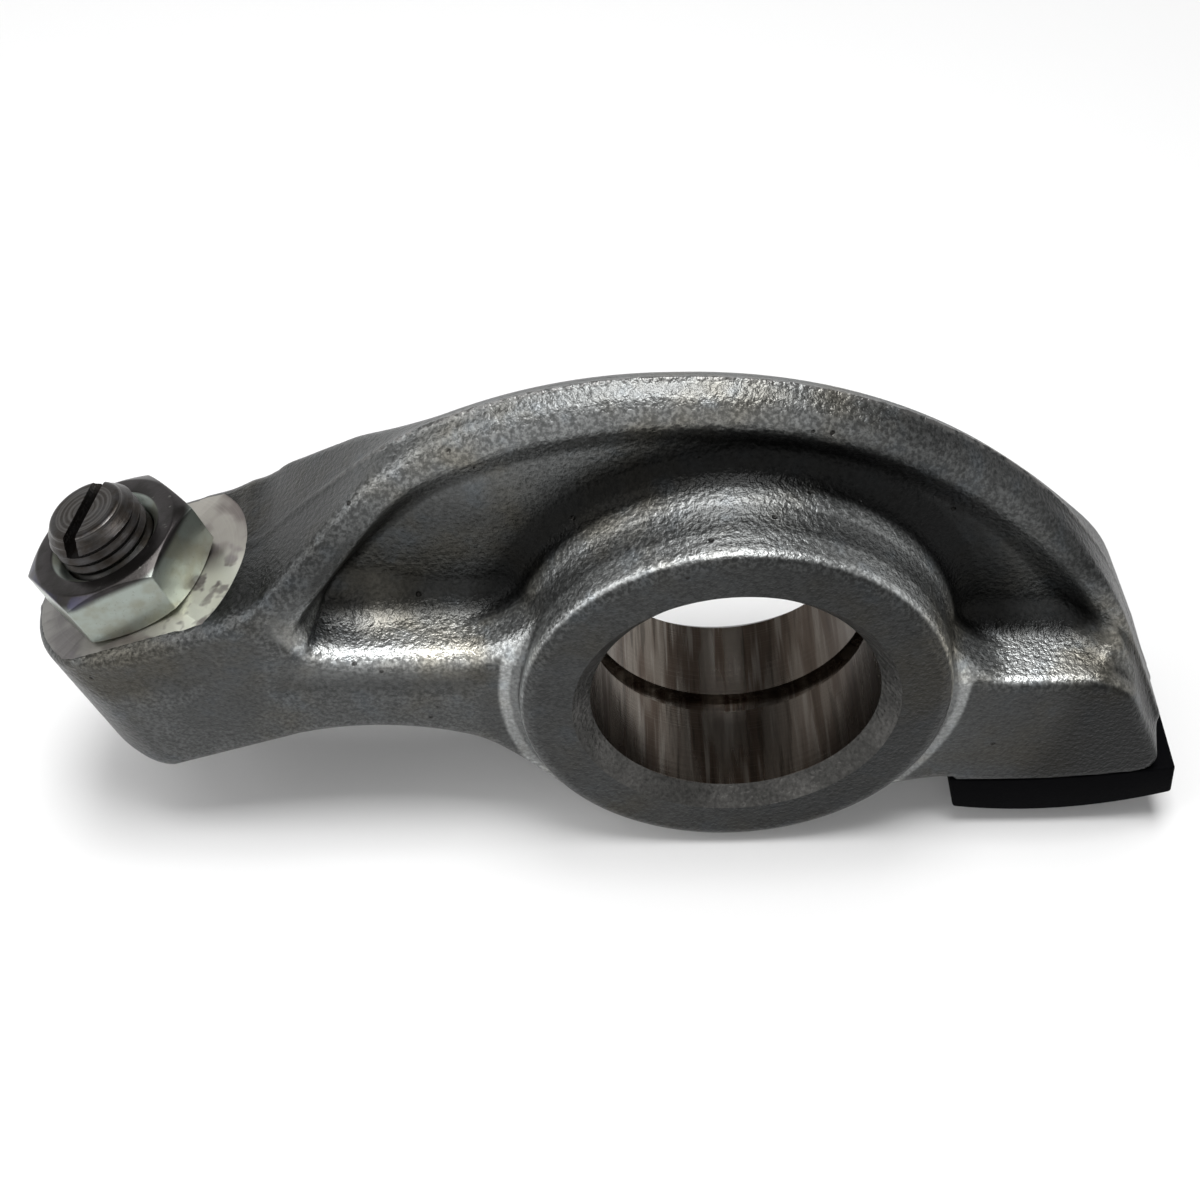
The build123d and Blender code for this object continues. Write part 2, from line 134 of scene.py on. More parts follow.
class ForgingSettings(bpy.types.PropertyGroup):
    boss_radius: size("Boss Radius", 17.7, "Radius at the boss's ring faces")
    boss_length: size("Boss Length", 21.3, "From ring face to ring face")
    draft: turn("Draft", 4.5, "Taper of the forged walls")
    flange_width: size("Flange Width", 17.6, "Width of the blocks and flanges")
    web_thickness: size("Web Thickness", 4, "Thickness of the thin web")
    rim_width: size("Rim Width", 6.1, "Width of the arched rim")
    rim_depth: size("Rim Depth", 5.1, "Depth of the rim below its crest")
    crown: turn("Rim Crown", 24, "Slope to each side of the rim's crest")
    arch_radius: size("Arch Radius", 41.3, "Radius of the arch's crest")
    arch_x: size("Arch Centre X", -5.6, "Place of the arch's centre along the arm")
    arch_z: size("Arch Centre Z", -14.7, "Height of the arch's centre")
    arch_flat: size("Arch Flat", 1.25, "Flat between the arch's two arcs")
    hump_angle: turn("Hump Angle", 123.8, "Where the arch turns down to the spot face")
    shoulder_angle: turn("Shoulder Angle", 24, "Where the arch runs out straight to the pad")
    left_ledge: size("Left Ledge", 4.3, "Height of the ledge next to the screw block")
    right_ledge: size("Right Ledge", 0.5, "Height of the ledge over the pad")
    block_draft: turn("Pad Block Draft", 7.5, "Taper of the block's end and ledge")
    underside: size("Underside", -4.8, "Height at the middle of the hollow")
    spot_radius: size("Spot Face Radius", 10.3, "Radius of the milled spot face")
    block_height: size("Block Height", 14.4, "Height of the block round the screw")
    block_radius: size("Block End Radius", 9.6, "Radius of the block's round end")
    mouth_chamfer: size("Bore Mouth Chamfer", 1.5, "Width of the chamfer")
    groove_width: size("Oil Groove Width", 2, "Width of the groove")
    groove_depth: size("Oil Groove Depth", 0.9, "Depth of the groove")
    seat_radius: size("Seat Radius", 75, "Radius of the pad's seat")
    seat_x: size("Seat Centre X", 24, "Place of the seat's lowest line along the arm")
    seat_z: size("Seat Height", -12.5, "Height of the seat's lowest line")
    grain: size("Mesh Step", 0.36, "Step of the forging's mesh")
    steel: colour("Blasted Steel", 0.056, 0.0575, 0.057, "Main colour of the blasted forging")
    scale_brown: colour("Brown Tint", 0.059, 0.055, 0.045, "Colour of the brown patches")
    scale_blue: colour("Blue Tint", 0.054, 0.061, 0.067, "Colour of the bluish patches")
    milled: colour("Milled Steel", 0.4, 0.38, 0.345, "Colour of the spot face")
    bored: colour("Bored Steel", 0.15, 0.13, 0.11, "Colour of the bore")


class NutSettings(bpy.types.PropertyGroup):
    across_flats: size("Across Flats", 13, "Distance from flat to flat")
    height: size("Height", NUT_TOP, "Height of the nut")
    face_diameter: size("Face Diameter", 12.6, "Diameter of the flat ring at each end")
    chamfer: turn("Chamfer", 32, "Angle of the chamfer on the corners")
    hole_radius: size("Hole Radius", 4.02, "Radius of the hole")
    countersink: size("Countersink", 0.87, "Width of the countersink")
    phase: turn("Turn", 10.6, "How far one corner is turned from the boss")
    zinc: colour("Zinc", 0.31, 0.345, 0.315, "Colour of the plating")
    stain: colour("Stain", 0.017, 0.013, 0.013, "Colour of the heat stain on the end ring")


class ScrewSettings(bpy.types.PropertyGroup):
    radius: size("Thread Radius", 3.95, "Outer radius of the thread")
    pitch: size("Pitch", 1, "Rise of the thread in one turn")
    thread_depth: size("Thread Depth", 0.32, "Depth of the thread")
    above_nut: size("Above Nut", TIP_ABOVE_NUT, "How far the tip stands above the nut")
    tip_diameter: size("Tip Diameter", 6.3, "Diameter of the flat tip")
    tip_chamfer: size("Tip Chamfer", 1.1, "Height of the chamfer below the tip")
    slot_width: size("Slot Width", 1.2, "Width of the screwdriver slot")
    slot_depth: size("Slot Depth", 1.7, "Depth of the screwdriver slot")
    slot_turn: turn("Slot Turn", 75, "Direction of the slot, turned from the boss")
    below_block: size("Below Block", 5.8, "How far the point stands below the block")
    point_diameter: size("Point Diameter", 6, "Diameter of the point")
    point_length: size("Point Length", 3, "Length of the plain point")
    point_radius: size("Point Radius", 5, "Radius of the point's rounded end")
    dark_steel: colour("Dark Steel", 0.032, 0.027, 0.023, "Colour of the hardened screw")


class PadSettings(bpy.types.PropertyGroup):
    thickness: size("Thickness", 4.4, "Thickness of the pad below its seat")
    face_radius: size("Face Radius", 35, "Radius of the rubbing face")
    face_x: size("Face Centre X", 26.7, "Place of the face's lowest line along the arm")
    end_slant: size("End Slant", 0.8, "How far the ends lean")
    edge: size("Edge Radius", 0.25, "Radius of the edges")
    black: colour("Black", 0.0015, 0.0015, 0.002, "Colour of the blackened pad")


class StageSettings(bpy.types.PropertyGroup):
    distance: size("Camera Distance", 160.97, "From the camera to the bore's middle")
    azimuth: turn("Camera Azimuth", -1.04, "Direction of the camera round the arm")
    elevation: turn("Camera Elevation", 47.13, "Height of the camera above the horizon")
    sideways: size("Sideways", -11.009, "Shift of the camera to its right")
    upwards: size("Upwards", 1.161, "Shift of the camera to its top")
    lens: number("Lens", 56.31, "Focal length for a 36 mm sensor")
    key: number("Key Light", 13.5, "Radiance of the light above")
    fill: number("Front Light", 1, "Radiance of the light in front")
    ambient: number("Ambient", 0.12, "Strength of the light from all round")
    ceiling: number("Ceiling", 0.12, "Brightness of the room above, in reflections")
    floor_glow: number("Floor Glow", 0.1, "White added to the floor in view")


GROUPS = {
    "rocker_forging": ForgingSettings,
    "rocker_nut": NutSettings,
    "rocker_screw": ScrewSettings,
    "rocker_pad": PadSettings,
    "rocker_stage": StageSettings,
}


def in_millimetres(settings):
    """Every length of a group in millimetres and every angle in radians."""
    values = {}
    for name, prop in settings.bl_rna.properties.items():
        if prop.type == "FLOAT" and not prop.is_array:
            scale = MM if prop.unit == "LENGTH" else 1
            values[name] = getattr(settings, name) / scale
    return SimpleNamespace(**values)


# ---- shader and geometry nodes ----


class Wire:
    """Output of a node, written like a number: its operators add Math nodes to the same tree."""

    def __init__(self, nodes, socket):
        self.nodes = nodes
        self.socket = socket

    def math(self, operation, *others):
        return self.nodes.node("Math", {"operation": operation}, self, *others)

    def __add__(self, other):
        return self.math("ADD", other)

    def __sub__(self, other):
        return self.math("SUBTRACT", other)

    def __mul__(self, other):
        return self.math("MULTIPLY", other)

    def __truediv__(self, other):
        return self.math("DIVIDE", other)

    def __pow__(self, other):
        return self.math("POWER", other)

    def __rsub__(self, other):
        return self.nodes.node("Math", {"operation": "SUBTRACT"}, other, self)

    __radd__ = __add__


class Nodes:
    """Adds nodes to one tree. A kind without "Node" in it is the rest of ShaderNode's name."""

    def __init__(self, tree):
        self.tree = tree

    def add(self, kind, settings=None):
        node = self.tree.nodes.new(kind if "Node" in kind else f"ShaderNode{kind}")
        for name, value in (settings or {}).items():
            setattr(node, name, value)
        return node

    def plug(self, socket, value):
        """Links a wire to a socket, or writes a value into it. A colour gets its alpha here."""
        if isinstance(value, Wire):
            self.tree.links.new(value.socket, socket)
        elif value is not None:
            socket.default_value = (*value, 1) if socket.type == "RGBA" else value

    def node(self, kind, settings=None, *values, out=0, **named):
        """Adds a node with its settings and inputs, and returns the output of this number or name."""
        node = self.add(kind, settings)
        for index, value in enumerate(values):
            self.plug(node.inputs[index], value)
        for name, value in named.items():
            self.plug(node.inputs[name.replace("_", " ")], value)
        return Wire(self, node.outputs[out])

    def parts(self, vector):
        """The three parts of a vector."""
        node = self.add("SeparateXYZ")
        self.plug(node.inputs[0], vector)
        return [Wire(self, output) for output in node.outputs]

    def ramp(self, value, low, high):
        """Value taken smoothly from 0 at low to 1 at high."""
        return self.node("MapRange", {"interpolation_type": "SMOOTHSTEP"}, value, low, high, 0, 1)

    def rays(self):
        """1 for rays from the camera, and 1 for those and for mirrored and transmitted rays."""
        path = self.add("LightPath")
        camera, glossy, clear = (
            Wire(self, path.outputs[f"Is {kind} Ray"]) for kind in ("Camera", "Glossy", "Transmission")
        )
        return camera, (camera + glossy + clear).math("MINIMUM", 1)


class Surface(Nodes):
    """Material under construction, with the helpers that all finishes share."""

    def __init__(self, name):
        self.material = bpy.data.materials.new(name)
        self.material.use_nodes = True
        super().__init__(self.material.node_tree)
        self.tree.nodes.clear()
        self.place = self.node("TexCoord", out="Object")

    def noise(self, grain, detail=2, rough=0.5, place=None, stretch=None):
        """Noise value, about 0.5 at its middle, whose patches are about a grain wide, in mm."""
        where = place or self.place
        if stretch:
            where = self.node("VectorMath", {"operation": "MULTIPLY"}, where, stretch)
        return self.node(
            "TexNoise", {"noise_dimensions": "3D"}, Vector=where, Scale=1 / (grain * MM), Detail=detail,
            Roughness=rough,
        )

    def cells(self, width):
        """0 at the middle of each cell and more towards its rim; the cells' width is in mm."""
        return self.node(
            "TexVoronoi", {"feature": "F1"}, Vector=self.place, Scale=1 / (width * MM), Randomness=1
        )

    def span(self, length, low, high):
        """Length taken smoothly from 0 at low to 1 at high, both in mm."""
        return self.ramp(length, low * MM, high * MM)

    def mix(self, mask, first, second, kind="MIX"):
        """Colour mixed by a mask."""
        node = self.add("Mix", {"data_type": "RGBA", "blend_type": kind, "clamp_factor": True})
        self.plug(node.inputs["Factor"], mask)
        self.plug(node.inputs[6], first)
        self.plug(node.inputs[7], second)
        return Wire(self, node.outputs[2])

    def grey(self, value):
        """Colour with one value in all three channels."""
        return self.node("CombineXYZ", None, value, value, value)

    def lit(self, base, factor):
        """Colour made lighter or darker by a factor."""
        return self.mix(1, base, self.grey(factor), "MULTIPLY")

    def bump(self, height, depth, under=None):
        """Normal bumped by a height of 0 to 1, its depth given in mm."""
        return self.node("Bump", None, Strength=1, Distance=depth * MM, Height=height, Normal=under)

    def finish(self, base, metal, rough, normal=None, **more):
        """Connects the shader, and returns the material."""
        shader = self.node(
            "BsdfPrincipled", Base_Color=base, Metallic=metal, Roughness=rough, Normal=normal, **more
        )
        self.plug(self.add("OutputMaterial").inputs[0], shader)
        return self.material


# ---- finishes ----


def blasted_steel(settings):
    """Shot-blasted forging: dark grey, finely dented, with faint brown and bluish patches, and with
    painted light and shade in its colour.
    """
    s = Surface("blasted_steel")
    x, y, z = s.parts(s.place)
    patches = s.noise(11, 3, 0.6)
    blotch = s.noise(3.2, 3, 0.55)
    speck = s.noise(0.34, 2, 0.6)
    fine = s.noise(0.17, 1, 0.5)
    shot = s.cells(0.5)
    pits = s.ramp(s.cells(3.1), 0.085, 0.04)
    parting = s.span(y.math("ABSOLUTE"), 0.42, 0.16) * s.span(x, -36, -29)
    parting = parting * s.ramp(s.noise(0.8, 2, 0.6), 0.4, 0.56)
    base = s.mix(s.ramp(patches, 0.46, 0.7) * 0.8, settings.steel, settings.scale_brown)
    base = s.mix(s.ramp(blotch, 0.54, 0.74) * 0.5, base, settings.scale_blue)
    base = s.lit(base, s.ramp(speck, 0.25, 0.8) * 0.7 + 0.62 + s.ramp(blotch, 0.3, 0.7) * 0.12)
    # painted light and painted shade by place
    base = s.lit(base, painted_light_and_shade(s, x, y.math("ABSOLUTE"), z))
    # painted highlight, with a sparkle, on rounded edges and painted shade in hollows, both taken from
    # how far the skin stands out
    wear = s.node("Attribute", {"attribute_name": "wear"}, out="Fac")
    edge_highlight = s.ramp(wear, 0.64, 1.1) * (0.35 + s.ramp(speck, 0.42, 0.62))
    base = s.lit(base, 1 + edge_highlight * 0.5 - s.ramp(wear, 0.46, 0.16) * 0.5)
    base = s.mix(parting * 0.6, base, (0.17, 0.165, 0.16))
    base = s.mix(pits * 0.8, base, (0.01, 0.009, 0.008))
    height = speck * 0.7 + fine * 0.22 + shot * 0.5 - pits * 1.4 + parting * 0.5
    normal = s.bump(height, 0.085, s.bump(blotch, 0.06))
    rough = 0.34 + s.ramp(speck, 0.35, 0.7) * 0.12
    return s.finish(base, 0.92, rough, normal)


def painted_light_and_shade(s, x, flank, z):
    """Painted light and shade by place: the boss, the ledges and the arch's crown are painted lightest,
    as if lit from above, and the web, the ring faces, the pad block's flanks and the rim's ends are
    painted darker, as if in shade.
    """
    # painted light on the upward faces of the boss and of the ledges
    from_bore = (x * x + z * z) ** 0.5
    barrel = s.span(from_bore, 20, 18)
    upper = s.span(flank, 3.3, 4.8) * s.span(flank - barrel * 1.75 * MM, 8.7, 8.3)
    level = z + s.span(x, -19, -24) * 9 * MM
    upper = upper * s.span(level, 20.5, 15) * s.span(x, -41, -33)
    upper = upper * (1 - s.span(z, 2, -8) * 0.45) * s.span(x, 36.5, 31)
    from_arch = ((x - 1.2 * MM) * (x - 1.2 * MM) + z * z) ** 0.5
    # painted light on the arch's crown
    crown = s.span(z, 13, 21) * s.span(from_arch, 21, 24.5) * s.span(x, 15, 2)
    light = 1 + upper * 4.4 + crown * 1.3
    # painted shade on the web under the rim, the ring faces, the pad block's flanks, the rim's right
    # slope and its left flare
    web = s.span(flank, 4.4, 3.1) * s.span(from_arch, 25, 21)
    ring_face_shade = s.span(flank, 10.1, 10.4)
    pad_flank_shade = s.span(x, 16, 26) * s.span(flank, 8.3, 8.7)
    right_rim_shade = s.span(x, 8, 18) * s.span(from_arch, 25, 29)
    left_rim_shade = s.span(x, -27, -33) * s.span(z, 7, 9.5)
    painted_shades = (
        (web, 0.72),
        (ring_face_shade, 0.28 + s.span(x, -8, 8) * 0.24),
        (pad_flank_shade, 0.36),
        (right_rim_shade, 0.58),
        (left_rim_shade, 0.25),
    )
    for mask, loss in painted_shades:
        light = light * (1 - mask * loss)
    return light


def milled_steel(settings):
    """Spot face: faint rings left by the cutter, with darker and purplish stains, a painted highlight
    towards the boss and the front, and painted shade towards the block's end.
    """
    s = Surface("milled_steel")
    across, along, up, radius = screw_coordinates(s)
    rings = s.noise(0.16, 1, 0.5, s.node("CombineXYZ", None, radius, up * 0.1, 0))
    stain = s.noise(4.2, 2, 0.55)
    grime = s.noise(1.6, 2, 0.5)
    tone = s.mix(s.ramp(stain, 0.44, 0.6) * 0.9, settings.milled, (0.2, 0.175, 0.165))
    tone = s.mix(s.ramp(grime, 0.56, 0.72) * 0.5, tone, (0.2, 0.17, 0.19))
    tone = s.mix(s.ramp(rings, 0.45, 0.8) * 0.16, tone, (0.55, 0.54, 0.49))
    # painted highlight towards the boss and the front
    spot_highlight = s.span(across, 1, 5) * s.span(along, 1, -3)
    tone = s.mix(spot_highlight * s.ramp(grime, 0.62, 0.5) * 0.85, tone, (0.9, 0.9, 0.8))
    # painted shade towards the block's end
    tone = s.mix(s.span(across, 0.5, -6) * 0.55, tone, (0.13, 0.135, 0.14))
    scratches = s.noise(0.35, 2, 0.6, None, (1, 0.2, 1))
    normal = s.bump(rings * 0.6 + scratches * 0.5, 0.014, s.bump(grime, 0.04))
    return s.finish(tone, 0.9, 0.3 + grime * 0.2, normal)


def bored_steel(settings):
    """Bore and its groove: fine turning marks, and a brown film in long streaks."""
    s = Surface("bored_steel")
    x, y = s.parts(s.place)[:2]
    rings = s.noise(0.14, 1, 0.5, s.node("CombineXYZ", None, y, 0, 0))
    film = s.noise(1.9, 2, 0.6, None, (1, 0.12, 1))
    streaks = s.noise(0.55, 2, 0.6, None, (1, 0.05, 1))
    tone = s.mix(s.ramp(film, 0.4, 0.6), settings.bored, (0.075, 0.055, 0.042))
    tone = s.mix(s.ramp(streaks, 0.52, 0.7) * 0.5, tone, (0.3, 0.28, 0.25))
    tone = s.mix(s.ramp(streaks, 0.46, 0.34) * 0.6, tone, (0.03, 0.024, 0.018))
    tone = s.mix(s.ramp(rings, 0.5, 0.8) * 0.25, tone, (0.26, 0.24, 0.21))
    # darker towards the pad's side of the bore
    tone = s.mix(s.span(x, 0, 8) * 0.6, tone, (0.03, 0.022, 0.016))
    normal = s.bump(rings, 0.014, s.bump(streaks, 0.02))
    return s.finish(tone, 0.95, 0.2 + film * 0.14, normal)


def mouth_steel():
    """Bore's mouth chamfer, roughed by the blasting like the ring face beside it."""
    s = Surface("mouth_steel")
    speck = s.noise(0.34, 2, 0.6)
    patches = s.noise(4, 2, 0.5)
    tone = s.mix(s.ramp(patches, 0.4, 0.66), (0.058, 0.057, 0.054), (0.085, 0.083, 0.079))
    tone = s.lit(tone, s.ramp(speck, 0.25, 0.8) * 0.6 + 0.7)
    normal = s.bump(speck * 0.7 + s.cells(0.5) * 0.5, 0.12)
    return s.finish(tone, 0.92, 0.36 + speck * 0.14, normal)


def zinc_plate(settings):
    """Plated nut: pale, a little green, its end rings stained dark and its flats spotted."""
    s = Surface("zinc_plate")
    across, _, up, radius = screw_coordinates(s)
    cloud = s.noise(2.6, 3, 0.55)
    fine = s.noise(0.25, 2, 0.6)
    ring = s.span(up, NUT_TOP * 0.8, NUT_TOP * 0.93) * s.span(radius, 4.72, 4.9)
    corners = s.span(radius, 6.3, 6.5) * s.span(up, NUT_TOP * 0.78, NUT_TOP * 0.88)
    corners = corners * s.span(across, 1.5, -3)
    tone = s.mix(s.ramp(cloud, 0.42, 0.66), settings.zinc, (0.25, 0.26, 0.215))
    tone = s.mix(s.ramp(fine, 0.6, 0.75) * 0.4, tone, (0.14, 0.14, 0.115))
    stained = s.mix(s.ramp(cloud, 0.4, 0.6), settings.stain, (0.036, 0.031, 0.033))
    spotted = s.ramp(s.noise(0.9, 2, 0.6), 0.66, 0.74) * s.span(across, -1, 3)
    stained = s.mix(spotted * 0.5, stained, (0.22, 0.22, 0.2))
    tone = s.mix(ring * 0.96, tone, stained)
    tone = s.mix(corners * s.ramp(cloud, 0.38, 0.52) * 0.8, tone, (0.03, 0.03, 0.055))
    normal = s.bump(fine, 0.01, s.bump(cloud, 0.03))
    return s.finish(tone, 0.9, 0.24 + cloud * 0.16, normal)


def dark_screw_steel(settings):
    """Hardened screw: dark brown-grey, with faint turning arcs on its tip."""
    s = Surface("dark_screw_steel")
    up, radius = screw_coordinates(s)[2:]
    arcs = s.noise(0.22, 1, 0.5, s.node("CombineXYZ", None, radius, up, 0))
    cloud = s.noise(1.6, 3, 0.6)
    fine = s.noise(0.22, 2, 0.6)
    top = NUT_TOP + TIP_ABOVE_NUT
    tip = s.span(up, top - 1.1, top - 0.35)
    tone = s.mix(s.ramp(cloud, 0.38, 0.66), settings.dark_steel, (0.05, 0.048, 0.048))
    tone = s.mix(tip * s.ramp(arcs, 0.45, 0.7) * 0.8, tone, (0.11, 0.105, 0.1))
    normal = s.bump(arcs * 0.6 + fine * 0.4, 0.025, s.bump(cloud, 0.04))
    return s.finish(tone, 0.9, 0.26 + fine * 0.16, normal)


def black_phosphate(settings):
    """Black pad with a faint speckle."""
    s = Surface("black_phosphate")
    speck = s.noise(0.35, 2, 0.6)
    cloud = s.noise(3, 3, 0.6)
    tone = s.mix(s.ramp(speck, 0.6, 0.76) * 0.7, settings.black, (0.006, 0.006, 0.005))
    tone = s.mix(s.ramp(cloud, 0.55, 0.72) * 0.3, tone, (0.003, 0.003, 0.003))
    normal = s.bump(speck, 0.02, s.bump(cloud, 0.03))
    return s.finish(tone, 0, 0.55 + speck * 0.12, normal, Specular_IOR_Level=0.02)


def screw_coordinates(s):
    """Coordinates across, along the bore and up the screw, from the spot face, and the radius."""
    offset = s.node("VectorMath", {"operation": "SUBTRACT"}, s.place, tuple(SCREW_SEAT))
    across, along, up = (
        s.node("VectorMath", {"operation": "DOT_PRODUCT"}, offset, tuple(axis), out="Value")
        for axis in SCREW_AXES
    )
    return across, along, up, (across * across + along * along) ** 0.5


# ---- the forging's shape ----


def join(first, second, radius):
    """Union of two distances, with the corner between them filled to a radius."""
    near = np.hypot(np.maximum(radius - first, 0), np.maximum(radius - second, 0))
    return np.maximum(radius, np.minimum(first, second)) - near


def meet(first, second, radius):
    """Common part of two distances, with the edge between them rounded to a radius."""
    return -join(-first, -second, radius)


def ease(value, low, high):
    """Smooth step from 0 at low to 1 at high."""
    t = np.clip((value - low) / (high - low), 0, 1)
    return t * t * (3 - 2 * t)


def screw_place(x, z):
    """Places across the screw's axis and above the spot face, in millimetres."""
    x = x - SCREW_SEAT.x / MM
    z = z - SCREW_SEAT.z / MM
    across = x * SCREW_ACROSS.x + z * SCREW_ACROSS.z
    above = x * SCREW_UP.x + z * SCREW_UP.z
    return across, above


def from_screw(across, above):
    """Side-view place in millimetres, from places across and above the spot face."""
    place = SCREW_SEAT / MM + SCREW_ACROSS * across + SCREW_UP * above
    return place.x, place.z


def circle_through(a, b, c):
    """Centre and radius of the circle through three places."""
    chords = 2 * np.subtract([b, c], a)
    x, z = np.linalg.solve(chords, [np.dot(b, b) - np.dot(a, a), np.dot(c, c) - np.dot(a, a)])
    return x, z, np.hypot(a[0] - x, a[1] - z)


def line_distance(x, z, start, end):
    """Distance to the left of the line that runs from start to end."""
    run = np.subtract(end, start) / np.hypot(end[0] - start[0], end[1] - start[1])
    return (z - start[1]) * run[0] - (x - start[0]) * run[1]


def crest_distance(x, z, f):
    """Side-view distances from the arch's crest and from its last, straight run to the pad alone."""
    centre_x = np.clip(x, f.arch_x, f.arch_x + f.arch_flat)
    circle = np.hypot(x - centre_x, z - f.arch_z) - f.arch_radius
    normal = (cos(f.shoulder_angle), sin(f.shoulder_angle))
    from_x = x - (f.arch_x + f.arch_flat + f.arch_radius * normal[0])
    from_z = z - (f.arch_z + f.arch_radius * normal[1])
    straight = from_x * normal[0] + from_z * normal[1]
    past = from_x * normal[1] - from_z * normal[0]
    return np.where(past > 0, straight, circle), straight


def hump_distance(x, z, f):
    """Side-view distance above the slope that runs from the spot face up to the hump."""
    hump = (f.arch_x + f.arch_radius * cos(f.hump_angle), f.arch_z + f.arch_radius * sin(f.hump_angle))
    foot = from_screw(f.spot_radius - 0.4, 0)
    return line_distance(x, z, foot, hump)


def wide_distance(x, side, z, f):
    """Screw block and the flange from it to the boss, hollowed below."""
    across, above = screw_place(x, z)
    # the block, its right wall leaning out below the spot face, and the flange at its foot
    right = (across - f.block_radius - 1 + 0.4 * np.minimum(above, 0)) / 1.08
    block = meet(above - FORGED_TOP, right, 1)
    ledge = z - f.left_ledge - (f.flange_width / 2 - side) * tan(f.draft)
    upper = join(block, np.maximum(np.maximum(ledge, 8 - across), x + BOSS_INSIDE), 3.4)
    # the hollow underside, an arc from the block's foot to the boss
    foot = from_screw(f.block_radius - 0.8, -f.block_height)
    boss_end = (f.boss_radius * cos(BELLY_END_ANGLE), f.boss_radius * sin(BELLY_END_ANGLE))
    middle = ((foot[0] + boss_end[0]) / 2, f.underside)
    belly_x, belly_z, belly_radius = circle_through(foot, middle, boss_end)
    belly = belly_radius - np.hypot(x - belly_x, z - belly_z)
    belly = np.where(x < foot[0], -above - f.block_height, np.maximum(belly, boss_end[1] - z))
    # the round end, its edges softer towards the block's foot
    end = np.hypot(np.minimum(across, 0), side) - f.block_radius
    rounding = (0.9 + 1.9 * ease(-above, 5, 10)) * ease(-across, 1, 8) + 0.05
    return meet(np.maximum(upper, belly), end, rounding)


def pad_block_distance(x, side, z, straight, f):
    """Block over the pad, rounded at its shoulder and its toe."""
    ledge = z - f.right_ledge - (f.flange_width / 2 - side) * tan(f.block_draft)
    end = straight + 0.05 + side * tan(f.block_draft)
    seat = np.hypot(x - f.seat_x, z - f.seat_z - f.seat_radius) - f.seat_radius - 0.15
    top = meet(ledge, end, 0.6 + 2.4 * ease(side, 4.5, 7.5))
    toe = meet(end, seat, 2.4)
    return np.maximum(np.maximum(top, toe), BOSS_INSIDE - x)


def rim_half(x, f):
    """Half the rim's width, which grows towards the screw block and towards the pad."""
    flare = 9.2 - 0.55 * (x + 38)
    right_end = f.rim_width / 2 + 1.7 * np.clip((x - 20) / 12, 0, 1.5) ** 2
    return join_up(right_end, flare, 3)


def arch_distance(x, side, z, crest, f):
    """Arch: a crowned rim with rounded edges, thinning softly below to the web."""
    outer = join_up(crest, hump_distance(x, z, f), 0.8)
    slope = tan(f.crown) * ease(x, -31, -23) * (1 - ease(x, 20, 33))
    outer = (outer + slope * side) * cos(f.crown)
    # below its crest the rim keeps its width to a start, and thins over a run to the web
    flare = ease(x, -24, -33)
    start = 1.5 + 2.2 * flare
    run = f.rim_depth + 1.4 * flare - start
    spread = rim_half(x, f) - f.web_thickness / 2
    part = np.clip((-crest - start) / run, 0, 1)
    wall = f.web_thickness / 2 + spread * (1 - part * part * (3 - 2 * part))
    lean = 6 * part * (1 - part) * spread / run
    wall = (side - wall) / np.hypot(1, lean)
    arch = meet(outer, wall, 2.1 - 1.2 * ease(x, 26, 33) - 0.9 * ease(x, -35, -40))
    lowest = RIM_END_Z + 5 * ease(x, 28, 20)
    return meet(arch, lowest - z, 0.8)


def join_up(first, second, softness):
    """Greater of two values, passing softly from one to the other."""
    apart = np.maximum(softness - np.abs(first - second), 0) / softness
    return np.maximum(first, second) + apart * apart * softness / 4


def forging_distance(x, y, z, f):
    """Distance outside the forging's skin, before anything is machined."""
    side = np.abs(y)
    crest, straight = crest_distance(x, z, f)
    across = screw_place(x, z)[0]
    pad_side = x > PAD_SIDE_X
    # the two blocks and the arch, joined with a radius that grows at the hump's foot
    wide = np.minimum(wide_distance(x, side, z, f), pad_block_distance(x, side, z, straight, f))
    blend = 2.6 + 1.4 * ease(x, -25, -30) * ease(x, -37, -34)
    blend = blend * np.where(pad_side, ease(-straight, 0, 1.4), 1) - 0.8 * ease(x, -37.5, -40.5)
    core = join(wide, arch_distance(x, side, z, crest, f), blend)
    # the raised parting line
    core = core + 0.08 * ease(side, 0.1, 0.45)
    middle_radius = f.boss_radius + f.boss_length / 2 * tan(f.draft)
    boss = (np.hypot(x, z) - middle_radius + side * tan(f.draft)) * cos(f.draft)
    core = join(core, boss, 3 + 2 * ease(side, 2.5, 5.5))
    edge = np.where(pad_side, 0.35 + 0.5 * ease(z, -11, -6), 0.9 + 0.9 * ease(z, -1, 3))
    core = meet(core, side - f.flange_width / 2, edge)
    core = np.maximum(core, np.hypot(np.minimum(across, 0), y) - f.block_radius)
    # the boss stands out beyond the flanges, up to its ring faces
    ring = meet(boss, side - f.boss_length / 2, 0.9)
    return join(core, ring, 0.35 * ease(side, 8.1, 8.7))


def skin_distance(places, f):
    """Distances outside the forging's skin of places given as rows, in millimetres."""
    return forging_distance(*places.T, f)


